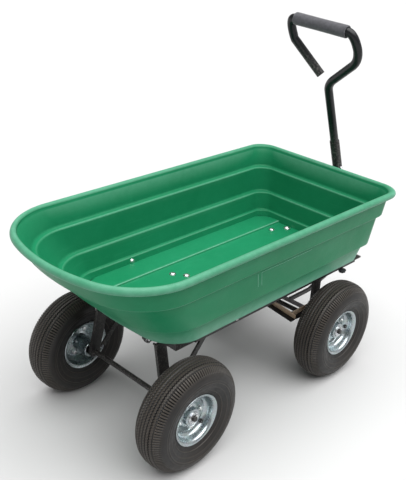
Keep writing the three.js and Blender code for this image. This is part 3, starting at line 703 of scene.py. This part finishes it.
def valve_shape():
    """The dark grommet in the wall of the well and the short valve stem inside it."""
    shape = Shape()
    a = math.radians(-138)
    centre = Vector((VALVE_CIRCLE * math.cos(a), 10.4, VALVE_CIRCLE * math.sin(a))) * MM
    place = facing(centre, (-0.70 * math.cos(a), 0.714, -0.70 * math.sin(a)))
    shape.turned([(5.2, -3.0), (5.2, 0), (4.6, 0.5), (3.7, 0.2), (3.5, -0.8), (0.1, -0.9)], place, 28)
    shape.turned([(2.0, -0.9), (2.0, 1.8), (1.5, 2.3), (0.1, 2.3)], place, 18)
    return shape


def bearing_shape():
    shape = Shape()
    shape.turned([(13.9, 9.5), (13.9, 18.2), (13.3, 18.9), (11.9, 18.9), (11.5, 18.2), (11.5, 9.5)],
                 AXIS, 48, closed=True)
    shape.turned([(9.3, 9.5), (9.3, 18.2), (8.8, 18.9), (7.4, 18.9), (6.9, 18.2), (6.9, 9.5)],
                 AXIS, 48, closed=True)
    shape.turned([(11.4, 11), (11.4, 17.6), (9.4, 17.9), (9.4, 11)], AXIS, 48, closed=True)
    return shape


TYRE = mesh_of(tyre_mesh(), "tyre_mesh", RUBBER, 40)
RIM_MESH = mesh_of(rim_shape(), "rim_mesh", [RIM, FLANGE], 30)
WHEEL_NUTS = mesh_of(wheel_hardware(), "wheel_nuts_mesh", ZINC)
VALVE = mesh_of(valve_shape(), "valve_mesh", CAP)
BEARING = mesh_of(bearing_shape(), "bearing_mesh", ZINC)

for end, x, frame_body in (("rear", 0.0, "chassis"), ("front", WHEELBASE, "truck")):
    axle = Shape()
    washers = Shape()
    for name, sign in SIDES:
        body = f"wheel_{end}_{name}"
        turn = Matrix.Rotation(0 if sign > 0 else math.pi, 4, "Z")
        spin = Matrix.Rotation(math.radians({"rear": 0, "front": 31}[end] + (0 if sign < 0 else 20)), 4, "Y")
        place = Matrix.Translation(at(x, sign * TRACK_HALF, AXLE_Z)) @ turn @ spin
        tag = f"{end}_{name}"
        put(f"tyre_{tag}_tread", TYRE, body, [f"tyre_{tag}"], place)
        put(f"rim_{tag}_pressed", RIM_MESH, body, [f"rim_{tag}"], place)
        put(f"wheel_nuts_{tag}", WHEEL_NUTS, body, (), place)
        put(f"valve_{tag}", VALVE, body, (), place)
        put(f"bearing_{tag}_rings", BEARING, body, [f"bearing_{tag}"], place)
        out = facing(at(x, sign * (TRACK_HALF + HUB_END + WASHER_GAP), AXLE_Z), (0, sign, 0))
        washers.turned([(6.9, 0), (13.2, 0), (14, 0.5), (14, 2.0), (13.4, 2.5), (6.9, 2.5)],
                       out, 36, closed=True)
        pin = out @ Matrix.Translation((0, 0, 4.6 * MM))
        path = [pin @ Vector((math.cos(a) * 2.2 * MM + 9.8 * MM, math.sin(a) * 2.2 * MM, 0))
                for a in (math.radians(v) for v in range(-150, 151, 25))]
        for prong in (1, -1):
            ends = [(7.8, 0.9), (-7.4, 0.9), (-10.6, 4.2), (-11.4, 7.6)]
            washers.tube([pin @ Vector((a * MM, prong * b * MM, 0)) for a, b in ends], 0.9, 8)
        washers.tube(path, 0.9, 8)
    axle_profile = [(5.4, -AXLE_HALF), (AXLE_RADIUS, -AXLE_HALF + 1),
                    (AXLE_RADIUS, AXLE_HALF - 1), (5.4, AXLE_HALF)]
    axle.turned(axle_profile, facing(at(x, 0, AXLE_Z), (0, 1, 0)), 32)
    axle.make(f"{end}_axle_bar", BLACK, frame_body, [f"{end}_axle"], "frame_black")
    washers.make(f"{end}_axle_washers", ZINC, frame_body,
                 [f"axle_washer_{end}_left", f"axle_washer_{end}_right"], "bright_steel")

# ------------------------------------------------------------------ handle

PIVOT_X, PIVOT_Z = 862.0, 197.0
LEAN = math.radians(22.3)
ALONG = Vector((-math.sin(LEAN), 0, math.cos(LEAN)))
PIVOT = at(PIVOT_X, 0, PIVOT_Z)


def on_handle(y, s):
    return PIVOT + ALONG * (s * MM) + Vector((0, y * MM, 0))


GRIP_AT = 728.0
GRIP_TILT = math.radians(3)
GRIP_HALF = 76.0


def grip_point(y):
    return (y * math.cos(GRIP_TILT), GRIP_AT + y * math.sin(GRIP_TILT))


def bend(a, corner, b, steps=14):
    return [tuple((1 - t) ** 2 * p + 2 * t * (1 - t) * q + t * t * r for p, q, r in zip(a, corner, b))
            for t in (k / steps for k in range(steps + 1))]


def make_handle():
    route = [(0, 330), (0, 430)]
    route += bend((0, 546), (-1, 566), (-22, 583))
    route += bend((-82, 635), (-102, 654), (-100, 683))
    route += bend((-100, 683), (-95, 719), grip_point(-GRIP_HALF - 3))[1:]
    route += [grip_point(0)]
    route += bend(grip_point(GRIP_HALF + 2), (100, GRIP_AT + 4), (89, 674))
    route += [(19, 587)]
    loop = Shape()
    loop.tube([on_handle(y, s) for y, s in route], 11, 32, inner=9.4)
    loop.make("handle_loop_tube", TUBE, "handle", ["handle_loop"], "frame_black", 50)

    lower = Shape()
    axis = facing(PIVOT, ALONG, (1, 0, 0))
    lower.turned([(11.3, 2), (13, 2), (13, 386.8), (12.5, 388), (11.6, 388), (11.3, 387)],
                 axis, 40, closed=True)
    sleeve = facing(at(PIVOT_X, -18.5, PIVOT_Z), (0, 1, 0))
    lower.turned([(5.6, 0), (11.4, 0), (12, 0.6), (12, 36.4), (11.4, 37), (5.6, 37)], sleeve, 36, closed=True)
    for s in (150, 300):
        for turn in (1, -1):
            spot = on_handle(0, s) + Vector((0, turn * 12.2 * MM, 0))
            dome_head(lower, facing(spot, (0, turn, 0)), 3.6, 2.0, slot=1)
    lower.make("handle_lower_tube_body", [TUBE, ZINC], "handle", ["handle_lower_tube"], "frame_black", 40)

    pin = Shape()
    out = facing(at(PIVOT_X, -33, PIVOT_Z), (0, 1, 0))
    pin.turned([(4.2, 0), (5, 0.8), (5, 65.2), (4.2, 66)], out, 24)
    for y, way in ((-28, -1), (28, 1)):
        hex_head(pin, facing(at(PIVOT_X, y + way * 0.5, PIVOT_Z), (0, way, 0)), 14, 4, 9)
    pin.make("handle_pin_bolt", ZINC, "truck", ["handle_pin"], "bright_steel")

    grip = Shape()
    grip_axis = Vector((0, math.cos(GRIP_TILT), 0)) + ALONG * math.sin(GRIP_TILT)
    profile = [(11.2, -GRIP_HALF + 1.2), (12.4, -GRIP_HALF), (14.2, -GRIP_HALF), (15.2, -GRIP_HALF + 0.9),
               (15.5, -GRIP_HALF + 2.4)]
    for k in range(1, 40):
        t = -GRIP_HALF + 2.4 + (2 * GRIP_HALF - 4.8) * k / 40
        profile.append((15.5 - 0.35 * math.sin(math.pi * k / 40) ** 2 + 0.07 * math.sin(k * 2.7), t))
    profile += [(15.5, GRIP_HALF - 2.4), (15.2, GRIP_HALF - 0.9), (14.2, GRIP_HALF), (12.4, GRIP_HALF),
                (11.2, GRIP_HALF - 1.2)]
    grip.turned(profile, facing(on_handle(0, GRIP_AT), grip_axis), 48, closed=True)
    made = grip.make("handle_grip_foam", FOAM, "handle", ["handle_grip"], "grip_foam", 60)


make_handle()

# ------------------------------------------------------------------ frame

MEMBER_BOTTOM = 266.5      # underside of the cross members and rails


def leg(name, x, sign, top, lean, setback, body):
    """A flat leg with a rounded foot, drawn about the axle."""
    shape = Shape()
    drop = 4 * math.sin(lean)
    height = (top - drop - AXLE_Z) / math.cos(lean)
    outline = [(15 - setback, height), (-15 - setback, height)]
    outline += circle(15, 25, math.pi, math.pi, -setback, 0)
    up = Vector((0, -sign * math.sin(lean), math.cos(lean)))
    normal = Vector((1, 0, 0)).cross(up)
    place = facing(at(x, sign * LEG_Y, AXLE_Z) - normal * 4 * MM, normal, (1, 0, 0))
    shape.prism(outline, 8, place, 0.9)
    for way in (1, -1):
        collar = facing(at(x, sign * LEG_Y, AXLE_Z) + Vector((0, way * 4.4 * MM, 0)), (0, way, 0))
        shape.turned([(6.8, -1.2), (11.2, -0.6), (10.6, 1.0), (8.2, 2.0), (6.8, 2.2)],
                     collar, 28, closed=True)
    shape.make(f"{name}_bar", BLACK, body, [name], "frame_black")


for name, sign in SIDES:
    leg(f"rear_leg_{name}", 0, sign, MEMBER_BOTTOM - 0.3, math.radians(12), 0, "chassis")
    leg(f"front_leg_{name}", WHEELBASE, sign, 253.7, 0, 5, "truck")

turntable = Shape()
turntable.prism(circle(62, 72), 6.2, facing(at(WHEELBASE, 0, 254), UP), 0.8)
turntable.make("turntable_disc", ZINC, "truck", ["turntable_plate"], "frame_black")

kingpin = Shape()
top = facing(at(WHEELBASE, 0, 266.5), UP)
kingpin.turned([(12.4, 0), (13.6, 0.6), (13.6, 2), (8, 2)], top, 32)
kingpin.prism(hexagon(22), 7, top @ Matrix.Translation((0, 0, 1 * MM)), 1.0)
low = facing(at(WHEELBASE, 0, 242.7), DOWN)
hex_head(kingpin, low, 21, 10, 13)
stud(kingpin, low, 8, 10, 15.8)
kingpin.turned([(8, 0), (8, 26)], facing(at(WHEELBASE, 0, 241), UP), 32)
kingpin.make("kingpin_bolt", ZINC, "chassis", ["kingpin"], "bright_steel")

rod = Shape()
rod.turned([(4.2, -90), (5, -89), (5, 89), (4.2, 90)], facing(at(-20, 0, 276), (0, 1, 0)), 28)
for way in (1, -1):
    rod.turned([(5.1, 0), (9.4, 0), (9.8, 0.5), (9.8, 1.3), (5.1, 1.8)],
               facing(at(-20, way * 84, 276), (0, way, 0)), 28, closed=True)
rod.make("tip_rod_bar", ZINC, "chassis", ["tip_pivot_rod"], "bright_steel")

# flat steel pieces and the latch: the frame's own solids, with eased edges
EASED = {
    "chassis": [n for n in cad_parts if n.endswith("cross_member")
                or n.startswith(("side_rail", "rear_brace", "tip_bracket", "bolster_plate"))],
    "truck": [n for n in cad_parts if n.startswith(("truck_", "tongue_"))],
    "tray_body": [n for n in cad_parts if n.startswith(("tray_strap", "latch_"))],
    "latch": ["latch_lever"],
}
for nodes in EASED.values():
    for n in nodes:
        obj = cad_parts[n]
        if obj.hide_render:
            continue
        material = BLACK
        if n.startswith(("latch_lever", "latch_pin", "latch_spring")):
            material = ZINC
        # The ring pieces and the cross bar take the colours with painted light and painted shade.
        elif n.startswith(("truck_rear_bar", "truck_side")):
            material = BRONZE
        elif n == "truck_cross_bar":
            material = GREY
        obj.data.materials.clear()
        obj.data.materials.append(material)
        weld = obj.modifiers.new("weld", "WELD")
        weld.merge_threshold = 0.00002
        if n != "latch_spring":
            ease = obj.modifiers.new("ease", "BEVEL")
            ease.width = 0.0007
            ease.segments = 2
            ease.limit_method = "ANGLE"
            ease.angle_limit = math.radians(40)

welds = Shape()
for sign in (1, -1):
    for dx in (-15, 15):
        welds.weld([(dx, sign * 93, 266), (dx, sign * 103, 266)], 2.4)
    for x in (55.3, 112, 136, 460, 484, 583, 611):
        welds.weld([(x, sign * 146, 268), (x, sign * 146, 284)], 2.2)
    welds.weld([(116, sign * 119.5, 264.5), (131, sign * 119.5, 264.5)], 2.2)
    welds.weld([(16, sign * 122, 137), (20, sign * 122, 146)], 2.4)
welds.weld([(461, -56, 266.3), (461, 56, 266.3)], 2.0)
welds.weld([(606, -56, 266.3), (606, 56, 266.3)], 2.0)
welds.make("chassis_welds", BLACK, "chassis", (), "frame_black", 60)

truck_welds = Shape()
for sign in (1, -1):
    y = sign * 121.6
    for x in (517, 545):
        truck_welds.weld([(x, y, 244), (x, y, 252.5)], 2.2)
    truck_welds.weld([(519, y, 242.8), (543, y, 242.8)], 2.2)
    truck_welds.weld([(466, sign * 105.5, 165.8), (466, sign * 109, 165.8)], 2.2)
    truck_welds.weld([(519, sign * 104.8, 159), (531, sign * 104.8, 159)], 2.0)
    truck_welds.weld([(531, sign * 47, 160.6), (531, sign * 53, 160.6)], 2.2)
truck_welds.make("truck_welds", BLACK, "truck", (), "frame_black", 60)

fixings = Shape()
for x, y in ((474, 92), (474, -92)):
    hex_head(fixings, facing(at(x, y, 266.2), DOWN), 13, 6, 9)
fixings.make("chassis_bolts", ZINC, "chassis", (), "bright_steel")

rail_ends = Shape()
for sign in (1, -1):
    outline = [(146.3, 266.5), (150.8, 266.5), (150.8, 286.2), (166.3, 286.2), (166.3, 290.7), (146.3, 290.7)]
    place = Matrix(((0, 0, 1, 0), (sign, 0, 0, 0), (0, 1, 0, 0), (0, 0, 0, 1)))
    place.translation = at(661.6, 0, 0)
    rail_ends.prism(outline, 3.6, place, 0.8)
    dome_head(rail_ends, facing(at(169, sign * 166.2, 288.7), (0, sign, 0)), 1.7, 1.2)
rail_ends.make("rail_end_caps", LIGHT_GREY, "chassis", (), "frame_black")

knob = Shape()
for sign in (1, -1):
    hex_head(knob, facing(at(600, sign * 154, 266.4), DOWN), 17, 5, 11)
    knob.turned([(7.5, 0), (8.2, 3), (7.8, 6), (6.0, 7.6), (0.1, 8.2)],
                facing(at(600, sign * 154, 266), DOWN), 28)
knob.make("rail_front_bolts", KNOB, "chassis", (), "frame_black")

# ------------------------------------------------------------------ floor, lights and camera

floor_mesh = bpy.data.meshes.new("ground")
floor_mesh.from_pydata([(-40, -40, 0), (40, -40, 0), (40, 40, 0), (-40, 40, 0)], [], [(0, 1, 2, 3)])
ground = bpy.data.objects.new("ground", floor_mesh)
bpy.context.scene.collection.objects.link(ground)
floor_material = Mat("ground_white", 0.9, 0.0)
floor_material.color(floor_material.ramp(floor_material.noise(0.6, 2), (0.3, 0.485), (0.7, 0.495)))
floor_mesh.materials.append(floor_material.material)

world = bpy.data.worlds.new("studio")
bpy.context.scene.world = world
world.use_nodes = True
world.node_tree.nodes["Background"].inputs["Color"].default_value = (1, 1, 1, 1)
world.node_tree.nodes["Background"].inputs["Strength"].default_value = 0.32


def sun(name, direction, strength, angle):
    light = bpy.data.lights.new(name, "SUN")
    light.energy = strength
    light.angle = math.radians(angle)
    obj = bpy.data.objects.new(name, light)
    bpy.context.scene.collection.objects.link(obj)
    obj.rotation_euler = Vector(direction).to_track_quat("-Z", "Y").to_euler()
    return obj


sun("overhead", (0.04, 0.22, -1.0), 5.7, 80)
sun("side_handle", (-0.9, 0.5, -0.5), 0.25, 50)

camera_data = bpy.data.cameras.new("camera")
camera = bpy.data.objects.new("camera", camera_data)
bpy.context.scene.collection.objects.link(camera)
bpy.context.scene.camera = camera
camera_data.sensor_width = 36
camera_data.lens = 57.6
camera_data.clip_start = 0.05
camera_data.clip_end = 200
azimuth, elevation, roll = -0.83126, 0.44216, 0.070838
back = Vector((math.sin(azimuth) * math.cos(elevation), -math.cos(azimuth) * math.cos(elevation),
               math.sin(elevation)))
right = (-back).cross(Vector(UP)).normalized()
upward = right.cross(-back)
rolled_right = right * math.cos(roll) + upward * math.sin(roll)
rolled_up = upward * math.cos(roll) - right * math.sin(roll)
pose = Matrix((rolled_right, rolled_up, back)).transposed().to_4x4()
pose.translation = at(-979.54, -1094.46, 1175.64)
camera.matrix_world = pose

bpy.context.scene.view_settings.view_transform = "Standard"
